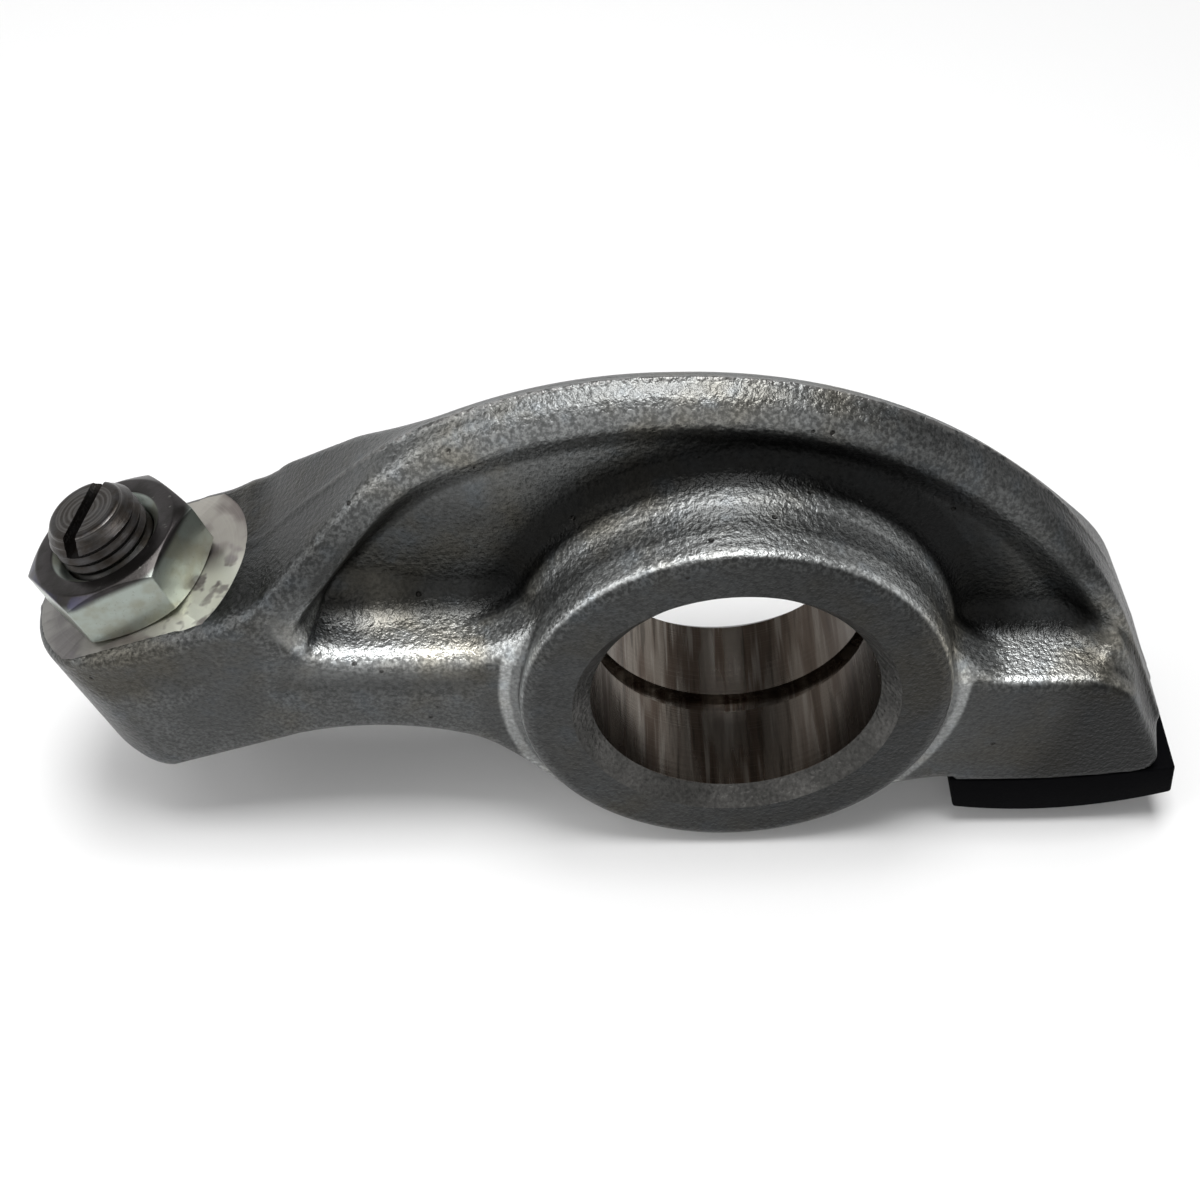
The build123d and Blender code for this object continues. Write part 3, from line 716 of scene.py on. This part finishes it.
def surface_net(values, low, step):
    """Vertices and four-sided faces of the surface on which a grid of distances is nought."""
    inside = values < 0
    shape = np.array(values.shape) - 1
    offsets = [(i, j, k) for i in (0, 1) for j in (0, 1) for k in (0, 1)]
    count = np.zeros(shape, dtype=int)
    for i, j, k in offsets:
        count += inside[i : i + shape[0], j : j + shape[1], k : k + shape[2]]
    cells = np.argwhere((count > 0) & (count < 8))
    number = np.full(shape, -1)
    number[tuple(cells.T)] = np.arange(len(cells))
    corner_values = [values[tuple((cells + offset).T)] for offset in offsets]
    total = np.zeros((len(cells), 3))
    crossings = np.zeros(len(cells))
    for a, first in enumerate(offsets):
        for b, second in enumerate(offsets):
            if b > a and sum(abs(p - q) for p, q in zip(first, second)) == 1:
                crossed = (corner_values[a] < 0) != (corner_values[b] < 0)
                gap = np.where(crossed, corner_values[a] - corner_values[b], 1)
                part = np.where(crossed, corner_values[a] / gap, 0)[:, None]
                place = np.array(first) + part * (np.array(second) - np.array(first))
                total += place * crossed[:, None]
                crossings += crossed
    vertices = low + (cells + total / crossings[:, None]) * step
    faces = []
    for axis in range(3):
        along, one, two = np.eye(3, dtype=int)[[axis, (axis + 1) % 3, (axis + 2) % 3]]
        ends = tuple(slice(0, n - d) for n, d in zip(values.shape, along))
        starts = tuple(slice(d, None) for d in along)
        changed = np.argwhere(inside[ends] != inside[starts])
        outward = inside[ends][tuple(changed.T)]
        ring = [changed - one - two, changed - two, changed, changed - one]
        quads = np.stack([number[tuple(cell.T)] for cell in ring], axis=1)
        quads[~outward] = quads[~outward][:, ::-1]
        faces.append(quads)
    return vertices, np.concatenate(faces)


def forging_mesh(name, f):
    """Mesh of the forging's skin: a net over its distances, each vertex then moved onto the skin."""
    low = np.array(BODY_LOW) / MM - 3 * f.grain
    high = np.array(BODY_HIGH) / MM + 3 * f.grain
    more_room = 1.5  # at the end with the screw block
    low[0] -= more_room
    axes = [np.arange(low[i], high[i] + f.grain, f.grain) for i in range(3)]
    x, y, z = np.meshgrid(*axes, indexing="ij")
    vertices, faces = surface_net(forging_distance(x, y, z, f), low, f.grain)
    nudge = 0.02
    for _ in range(3):
        slope = [
            skin_distance(vertices + way, f) - skin_distance(vertices - way, f)
            for way in nudge * np.eye(3)
        ]
        slope = np.stack(slope, axis=1) / (2 * nudge)
        steepness = np.maximum((slope**2).sum(axis=1), 0.25)
        move = slope * (skin_distance(vertices, f) / steepness)[:, None]
        # no vertex moves by more than this share of a step at a time
        reach = np.maximum(np.linalg.norm(move, axis=1) / (0.4 * f.grain), 1)
        vertices = vertices - move / reach[:, None]
    mesh = bpy.data.meshes.new(name)
    mesh.vertices.add(len(vertices))
    mesh.vertices.foreach_set("co", (vertices * MM).ravel())
    mesh.loops.add(faces.size)
    mesh.loops.foreach_set("vertex_index", faces.ravel())
    mesh.polygons.add(len(faces))
    mesh.polygons.foreach_set("loop_start", np.arange(len(faces)) * 4)
    mesh.update(calc_edges=True)
    mesh.validate()
    return mesh


# ---- objects, cutters and turned shapes ----


def placed(mesh, *materials):
    """New object at the origin, named after its mesh, with its materials."""
    piece = bpy.data.objects.new(mesh.name, mesh)
    bpy.context.scene.collection.objects.link(piece)
    for material in materials:
        mesh.materials.append(material)
    return piece


def baked(piece):
    """Replaces an object's mesh by the outcome of its modifiers, which are then removed."""
    bpy.context.view_layer.update()
    graph = bpy.context.evaluated_depsgraph_get()
    mesh = bpy.data.meshes.new_from_object(piece.evaluated_get(graph), depsgraph=graph)
    piece.modifiers.clear()
    piece.data = mesh
    return piece


def cut(piece, *cutters):
    """Takes the cutters out of a piece; each leaves its own material on the faces it cuts."""
    for cutter in cutters:
        modifier = piece.modifiers.new(cutter.name, "BOOLEAN")
        modifier.operation = "DIFFERENCE"
        modifier.solver = "EXACT"
        modifier.material_mode = "TRANSFER"
        modifier.object = cutter
    baked(piece)
    for cutter in cutters:
        bpy.data.objects.remove(cutter)


def bevelled(piece, width, segments, angle):
    """Small rounding on every edge sharper than an angle."""
    modifier = piece.modifiers.new("Edge Rounding", "BEVEL")
    modifier.width = width * MM
    modifier.segments = segments
    modifier.limit_method = "ANGLE"
    modifier.angle_limit = radians(angle)
    return baked(piece)


def shaded(piece, angle):
    """Smooth shading, with edges sharper than an angle left crisp."""
    piece.data.shade_smooth()
    piece.data.set_sharp_from_angle(angle=radians(angle))


def turned_outwards(mesh, merge=0):
    """Merges vertices that lie within a distance, and turns the faces outwards."""
    shape = bmesh.new()
    shape.from_mesh(mesh)
    if merge:
        bmesh.ops.remove_doubles(shape, verts=shape.verts, dist=merge)
    bmesh.ops.recalc_face_normals(shape, faces=shape.faces)
    shape.to_mesh(mesh)
    shape.free()


def mesh_of(name, vertices, faces, place=None, material_of_face=None):
    """Closed mesh from vertices in millimetres, moved to its place."""
    mesh = bpy.data.meshes.new(name)
    mesh.from_pydata([tuple(Vector(v) * MM) for v in vertices], [], faces)
    if material_of_face:
        mesh.polygons.foreach_set("material_index", material_of_face)
    turned_outwards(mesh, 0.001 * MM)
    if place:
        mesh.transform(place)
    return mesh


def revolved(name, outline, place, segments, material_of_row=None):
    """Closed turned mesh about Z; the outline's (radius, height) places start and end on the axis."""
    vertices = []
    for radius, height in outline:
        for column in range(segments):
            angle = 2 * pi * column / segments
            vertices.append((radius * cos(angle), radius * sin(angle), height))
    faces = []
    materials = []
    for row in range(len(outline) - 1):
        for column in range(segments):
            a = row * segments + column
            b = row * segments + (column + 1) % segments
            faces.append((a, b, b + segments, a + segments))
            materials.append(material_of_row[row] if material_of_row else 0)
    return mesh_of(name, vertices, faces, place, materials)


def slab(name, outline, low_y, high_y, place=None):
    """Side-view outline made solid across the arm."""
    count = len(outline)
    vertices = [(x, y, z) for y in (low_y, high_y) for x, z in outline]
    faces = [tuple(range(count)), tuple(range(2 * count - 1, count - 1, -1))]
    for i in range(count):
        following = (i + 1) % count
        faces.append((i, following, following + count, i + count))
    return mesh_of(name, vertices, faces, place)


def turned_tree(name, inputs, rule):
    """Tree that turns an outline into a solid; a rule gives each vertex its radius and height.

    The outline comes in as loose vertices: radius in x, a free mark in y, and height in z.
    """
    group = bpy.data.node_groups.new(name, "GeometryNodeTree")
    sockets = {"Outline": "Geometry", "Columns": "Int", "Material": "Material"}
    sockets.update({socket: "Float" for socket in inputs})
    for socket, kind in sockets.items():
        group.interface.new_socket(socket, in_out="INPUT", socket_type=f"NodeSocket{kind}")
    group.interface.new_socket("Solid", in_out="OUTPUT", socket_type="NodeSocketGeometry")
    g = Nodes(group)
    given = {output.name: Wire(g, output) for output in g.add("NodeGroupInput").outputs if output.name}
    rows = g.node("GeometryNodeAttributeDomainSize", {"component": "MESH"}, given["Outline"])
    columns = given["Columns"]
    grid = g.node("GeometryNodeMeshGrid", None, rows - 1, columns, rows, columns + 1)
    position = g.node("GeometryNodeInputPosition")
    x, y = g.parts(position)[:2]
    row = (x + (rows - 1) / 2).math("ROUND")
    angle = (y + columns / 2).math("ROUND") / columns * (2 * pi)
    outline_place = g.node(
        "GeometryNodeSampleIndex", {"data_type": "FLOAT_VECTOR"}, given["Outline"], position, row
    )
    radius, height, angle = rule(given, *g.parts(outline_place), angle)
    place = g.node("CombineXYZ", None, radius * angle.math("COSINE"), radius * angle.math("SINE"), height)
    solid = g.node("GeometryNodeSetPosition", None, grid, None, place)
    solid = g.node("GeometryNodeMergeByDistance", None, solid, Distance=0.002 * MM)
    solid = g.node("GeometryNodeRealizeInstances", None, solid)
    solid = g.node("GeometryNodeSetMaterial", None, solid, Material=given["Material"])
    g.plug(g.add("NodeGroupOutput").inputs[0], solid)
    return group


def turned(name, outline, tree, material, columns, **values):
    """Piece on the screw's axis, made by a turning tree from an outline in millimetres."""
    mesh = bpy.data.meshes.new(name)
    mesh.from_pydata([(r * MM, mark, h * MM) for r, mark, h in outline], [], [])
    piece = placed(mesh)
    modifier = piece.modifiers.new(tree.name, "NODES")
    modifier.node_group = tree
    given = {"Columns": columns, "Material": material}
    given.update({key.replace("_", " "): value for key, value in values.items()})
    for item in tree.interface.items_tree:
        if item.name in given:
            modifier[item.identifier] = given[item.name]
    baked(piece)
    turned_outwards(piece.data)
    piece.data.transform(SCREW_PLACE)
    return piece


def hexagon_rule(given, radius, mark, height, angle):
    """Where the mark is 1 or -1 the vertex lies on the hexagon, as high as the chamfer reaches there."""
    sixth = pi / 3
    turned_in = angle.math("MODULO", sixth) - sixth / 2
    hexagon = given["Across Flats"] / 2 / turned_in.math("COSINE")
    on_flat = mark.math("ABSOLUTE")
    chamfer_drop = (hexagon - given["Face Radius"]) * given["Chamfer Slope"]
    radius = radius * (1 - on_flat) + hexagon * on_flat
    return radius, height - mark * chamfer_drop, angle + given["Phase"]


def thread_rule(given, radius, _mark, height, angle):
    """The radius is cut back to the thread, which rises by one pitch in a turn."""
    turn_part = (height / given["Pitch"] - angle / (2 * pi)).math("FRACT")
    flank = (turn_part * 2 - 1).math("ABSOLUTE") * 1.25 - 0.12
    depth = flank.math("MAXIMUM", 0).math("MINIMUM", 1)
    return radius.math("MINIMUM", given["Radius"] - depth * given["Depth"]), height, angle


def stepped(start, end, count):
    """Places from start to end, both counted in."""
    return [start + (end - start) * i / (count - 1) for i in range(count)]


def straight_run(start, end, count):
    """Places of a turned outline on a straight line, without its start."""
    places = [np.add(start, np.subtract(end, start) * i / count) for i in range(1, count + 1)]
    return [(radius, 0, height) for radius, height in places]


def bowl(place, middle, lowest, radius):
    """Height of an arc over a place; the arc is lowest at its middle."""
    return lowest + radius - sqrt(radius**2 - (place - middle) ** 2)


def bowl_line(start, end, count, *bowl_shape):
    """Places along such an arc, from start to end."""
    return [(place, bowl(place, *bowl_shape)) for place in stepped(start, end, count)]


# ---- operators ----


class Undoable:
    """What all operators of this file share."""

    bl_options = {"REGISTER", "UNDO"}


class ROCKER_OT_forging(Undoable, bpy.types.Operator):
    """Build the forging with its bore, groove, spot face, screw hole and pad seat"""

    bl_idname = "rocker.forging"
    bl_label = "Forging"

    def execute(self, context):
        settings = context.scene.rocker_forging
        f = in_millimetres(settings)
        steel = blasted_steel(settings)
        bored = bored_steel(settings)
        milled = milled_steel(settings)
        body = placed(forging_mesh("forged_arm", f), steel)
        cut(body, bore_cutter(f, bored, mouth_steel()), *block_cutters(f, milled), seat_cutter(f, steel))
        mark_edge_light_and_hollow_shade(body, f)
        shaded(body, 38)
        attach(body, "arm")
        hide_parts("rocker_body")
        return {"FINISHED"}


def mark_edge_light_and_hollow_shade(piece, f):
    """Writes how far each point stands out: above 0.5 on rounded edges, below it in hollows. The
    forging's colour takes its painted highlight and painted shade from this.
    """
    mesh = piece.data
    places = np.empty(len(mesh.vertices) * 3)
    mesh.vertices.foreach_get("co", places)
    places = places.reshape(-1, 3) / MM
    reach = 0.7
    around = np.zeros(len(places))
    for way in reach * np.eye(3):
        around += skin_distance(places - way, f) + skin_distance(places + way, f)
    bend = (around - 6 * skin_distance(places, f)) / reach**2
    wear = mesh.attributes.new("wear", "FLOAT", "POINT")
    wear.data.foreach_set("value", np.clip(0.5 + 0.9 * bend, 0, 1).astype(np.float32))


def bore_cutter(f, bored, mouth):
    """The bore with its mouth chamfers and its oil groove, turned about the bore's axis."""
    end = f.boss_length / 2
    mouth_radius = BORE_RADIUS + f.mouth_chamfer
    groove_radius = BORE_RADIUS + f.groove_depth
    groove = f.groove_width / 2
    half = [
        (groove_radius, 0),
        (groove_radius, groove),
        (BORE_RADIUS, groove),
        (BORE_RADIUS, end - f.mouth_chamfer),
        (mouth_radius, end),
        (mouth_radius, end + 1),
        (0, end + 1),
    ]
    below = [(radius, -height) for radius, height in reversed(half)]
    mouth_rows = [1, 1, 1]
    rows = mouth_rows + [0] * 6 + mouth_rows
    place = Matrix.Rotation(radians(-90), 4, "X")
    return placed(revolved("bore_cutter", below + half[1:], place, 256, rows), bored, mouth)


def block_cutters(f, milled):
    """The spot face's cutter and the screw hole's."""
    cutters = []
    for name, radius, low, high, segments in (
        ("spot_cutter", f.spot_radius, 0, f.block_height, 224),
        ("hole_cutter", SCREW_HOLE_RADIUS, -f.block_height - 2, 2, 96),
    ):
        outline = [(0, low), (radius, low), (radius, high), (0, high)]
        cutters.append(placed(revolved(name, outline, SCREW_PLACE, segments), milled))
    return cutters


def seat_cutter(f, steel):
    """What lies below the curved seat of the pad, from the boss to beyond the arm's end."""
    end_x = BODY_HIGH.x / MM + 3
    seat = bowl_line(f.boss_radius, end_x, 40, f.seat_x, f.seat_z, f.seat_radius)
    below = [(end_x, f.seat_z - 9), (f.boss_radius, f.seat_z - 9)]
    half = f.flange_width / 2 + 2
    return placed(slab("seat_cutter", seat + below, -half, half), steel)


class ROCKER_OT_pad(Undoable, bpy.types.Operator):
    """Build the black slipper pad under the arm's end"""

    bl_idname = "rocker.pad"
    bl_label = "Slipper Pad"

    def execute(self, context):
        settings = context.scene.rocker_pad
        p = in_millimetres(settings)
        f = in_millimetres(context.scene.rocker_forging)
        right = PAD_HIGH.x / MM
        left = PAD_LOW.x / MM
        seat = bowl_line(left, right - p.end_slant / 2, 60, f.seat_x, f.seat_z, f.seat_radius)
        lowest = f.seat_z - p.thickness
        face = bowl_line(right, left + p.end_slant, 60, p.face_x, lowest, p.face_radius)
        half = f.flange_width / 2
        pad = placed(slab("slipper_pad_black", seat + face, -half, half), black_phosphate(settings))
        shaded(bevelled(pad, p.edge, 3, 40), 30)
        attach(pad, "arm")
        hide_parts("slipper_pad")
        return {"FINISHED"}


class ROCKER_OT_nut(Undoable, bpy.types.Operator):
    """Build the hex lock nut on the spot face"""

    bl_idname = "rocker.nut"
    bl_label = "Lock Nut"

    def execute(self, context):
        settings = context.scene.rocker_nut
        n = in_millimetres(settings)
        face = n.face_diameter / 2
        mouth = n.hole_radius + n.countersink
        outline = [
            (n.hole_radius, 0, n.countersink),
            (mouth, 0, 0),
            (face, 0, 0),
            (face, -1, 0),
            (face, 1, n.height),
            (face, 0, n.height),
            (mouth, 0, n.height),
            (n.hole_radius, 0, n.height - n.countersink),
            (n.hole_radius, 0, n.countersink),
        ]
        inputs = ("Across Flats", "Face Radius", "Chamfer Slope", "Phase")
        tree = turned_tree("hex_nut", inputs, hexagon_rule)
        nut = turned(
            "lock_nut_zinc", outline, tree, zinc_plate(settings), 144,
            Across_Flats=n.across_flats * MM, Face_Radius=face * MM, Chamfer_Slope=tan(n.chamfer),
            Phase=n.phase,
        )
        shaded(bevelled(nut, 0.16, 3, 24), 30)
        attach(nut, "nut")
        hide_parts("lock_nut")
        return {"FINISHED"}


class ROCKER_OT_screw(Undoable, bpy.types.Operator):
    """Build the slotted adjusting screw with its thread and its rounded point"""

    bl_idname = "rocker.screw"
    bl_label = "Adjusting Screw"

    def execute(self, context):
        settings = context.scene.rocker_screw
        s = in_millimetres(settings)
        f = in_millimetres(context.scene.rocker_forging)
        top = NUT_TOP + s.above_nut
        bottom = -f.block_height - s.below_block
        outline = screw_outline(s, top, bottom)
        tree = turned_tree("screw_thread", ("Radius", "Pitch", "Depth"), thread_rule)
        steel = dark_screw_steel(settings)
        screw = turned(
            "adjusting_screw_dark", outline, tree, steel, 96,
            Radius=s.radius * MM, Pitch=s.pitch * MM, Depth=s.thread_depth * MM,
        )
        reach = s.radius + 1
        low = top - s.slot_depth
        high = top + 1
        corners = [(-reach, low), (reach, low), (reach, high), (-reach, high)]
        place = SCREW_PLACE @ Matrix.Rotation(s.slot_turn, 4, "Z")
        slot = slab("slot_cutter", corners, -s.slot_width / 2, s.slot_width / 2, place)
        cut(screw, placed(slot, steel))
        shaded(screw, 40)
        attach(screw, "screw")
        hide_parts("adjusting_screw")
        return {"FINISHED"}


def screw_outline(s, top, bottom):
    """Outline of the screw from its rounded point, along the thread, to the flat tip."""
    point = s.point_diameter / 2
    neck = bottom + s.point_length
    shank_low = neck + s.radius - point
    shank_high = top - s.tip_chamfer
    # the tip's edge is a quarter of an ellipse of this size, about the flat's rim
    edge_width = 0.47
    edge_height = 0.315
    flat = s.tip_diameter / 2 - 0.35
    outline = [(r, 0, bowl(r, 0, bottom, s.point_radius)) for r in stepped(0, point, 12)]
    corners = [
        (point, outline[-1][2]),
        (point, neck),
        (s.radius, shank_low),
        (s.radius, shank_high),
        (flat + edge_width, top - edge_height),
    ]
    thread_rows = int((shank_high - shank_low) / s.pitch * THREAD_ROWS)
    for start, end, rows in zip(corners, corners[1:], (5, 8, thread_rows - 1, 10)):
        outline += straight_run(start, end, rows)
    for i in range(1, 6):
        angle = radians(90) * i / 5
        outline.append((flat + edge_width * cos(angle), 0, top - edge_height * (1 - sin(angle))))
    return outline + straight_run((flat, top), (0, top), 7)


class ROCKER_OT_stage(Undoable, bpy.types.Operator):
    """Build the floor, the lamps, the world and the camera"""

    bl_idname = "rocker.stage"
    bl_label = "Stage"

    def execute(self, context):
        settings = context.scene.rocker_stage
        build_floor(settings)
        build_world(settings)
        # places in metres
        for name, place, radiance in (
            ("top_softbox", (0, -0.04, 0.45), settings.key),
            ("back_softbox", (0, 0.12, 0.435), 0.35 * settings.key),
            ("high_left_softbox", (-0.21, -0.08, 0.39), 0.2 * settings.key),
            ("low_left_softbox", (-0.37, -0.13, 0.225), 0.25 * settings.key),
            ("front_softbox", (0, -0.32, 0.32), settings.fill),
        ):
            add_softbox(name, Vector(place), radiance)
        build_camera(settings)
        context.scene.view_settings.view_transform = "Standard"
        return {"FINISHED"}


def build_floor(settings):
    """White floor just below the arm, large enough to fill every view."""
    lowest = START_BOUNDS[0].z - 0.4 * MM
    reach = 6  # metres
    corners = [(-reach, -reach), (reach, -reach), (reach, reach), (-reach, reach)]
    mesh = bpy.data.meshes.new("floor")
    mesh.from_pydata([(x, y, lowest) for x, y in corners], [], [(0, 1, 2, 3)])
    s = Surface("white_floor")
    x, y = s.parts(s.place)[:2]
    seen = s.rays()[1]
    far = s.ramp((x * x + y * y) ** 0.5, 0.1, 0.4) * seen
    glow = seen * settings.floor_glow * (1 - far) + far
    base = s.mix(far, (0.76, 0.76, 0.76), (0, 0, 0))
    white = s.finish(
        base, 0, 0.9, Specular_IOR_Level=0.1, Emission_Color=s.grey(glow), Emission_Strength=1
    )
    placed(mesh, white)


def build_world(settings):
    """White to the camera and in reflections, and plain soft light elsewhere."""
    world = bpy.data.worlds.new("studio")
    world.use_nodes = True
    world.node_tree.nodes.clear()
    w = Nodes(world.node_tree)
    camera, seen = w.rays()
    height = w.parts(w.node("TexCoord", out="Generated"))[2]
    # the room is white low down, and dims higher up in reflections
    low = w.ramp(height, 0.62, 0.36)
    white = (camera + low * (1 - settings.ceiling) + settings.ceiling).math("MINIMUM", 1)
    strength = seen * (white - settings.ambient) + settings.ambient
    background = w.node("Background", Color=(1, 1, 1), Strength=strength)
    w.plug(w.add("OutputWorld").inputs[0], background)
    bpy.context.scene.world = world


def add_softbox(name, place, radiance):
    """Square area lamp turned to the arm; its power follows from its radiance and its area."""
    lamp = bpy.data.lights.new(name, "AREA")
    lamp.size = SOFTBOX_SIDE * MM
    lamp.energy = radiance * pi * lamp.size**2
    softbox = bpy.data.objects.new(name, lamp)
    bpy.context.scene.collection.objects.link(softbox)
    softbox.location = place
    softbox.rotation_euler = (-place).to_track_quat("-Z", "Y").to_euler()


def build_camera(settings):
    """Camera that looks along a fixed direction, shifted sideways and upwards."""
    azimuth = settings.azimuth
    elevation = settings.elevation
    back = Vector((sin(azimuth) * cos(elevation), -cos(azimuth) * cos(elevation), sin(elevation)))
    right = (-back).cross(Vector((0, 0, 1))).normalized()
    up = right.cross(-back)
    data = bpy.data.cameras.new("camera")
    data.sensor_width = 36
    data.lens = settings.lens
    data.clip_start = 0.005
    data.clip_end = 20
    camera = bpy.data.objects.new("camera", data)
    bpy.context.scene.collection.objects.link(camera)
    camera.matrix_world = Matrix((right, up, back)).transposed().to_4x4()
    camera.location = back * settings.distance + right * settings.sideways + up * settings.upwards
    bpy.context.scene.camera = camera


class ROCKER_PT_panel(bpy.types.Panel):
    """Lists the pieces of the rocker arm and their sizes"""

    bl_label = "Rocker Arm"
    bl_idname = "ROCKER_PT_panel"
    bl_space_type = "VIEW_3D"
    bl_region_type = "UI"
    bl_category = "Rocker Arm"

    def draw(self, context):
        for (name, group), operator in zip(GROUPS.items(), OPERATORS):
            box = self.layout.box()
            box.operator(operator.bl_idname)
            for prop in group.__annotations__:
                box.prop(getattr(context.scene, name), prop)


OPERATORS = (ROCKER_OT_forging, ROCKER_OT_nut, ROCKER_OT_screw, ROCKER_OT_pad, ROCKER_OT_stage)
CLASSES = (*GROUPS.values(), *OPERATORS, ROCKER_PT_panel)


def register():
    for item in CLASSES:
        bpy.utils.register_class(item)
    for name, group in GROUPS.items():
        setattr(bpy.types.Scene, name, PointerProperty(type=group))


def unregister():
    for name in GROUPS:
        delattr(bpy.types.Scene, name)
    for item in reversed(CLASSES):
        bpy.utils.unregister_class(item)


def main():
    register()
    bpy.ops.rocker.forging()
    bpy.ops.rocker.nut()
    bpy.ops.rocker.screw()
    bpy.ops.rocker.pad()
    bpy.ops.rocker.stage()


if __name__ == "__main__":
    main()
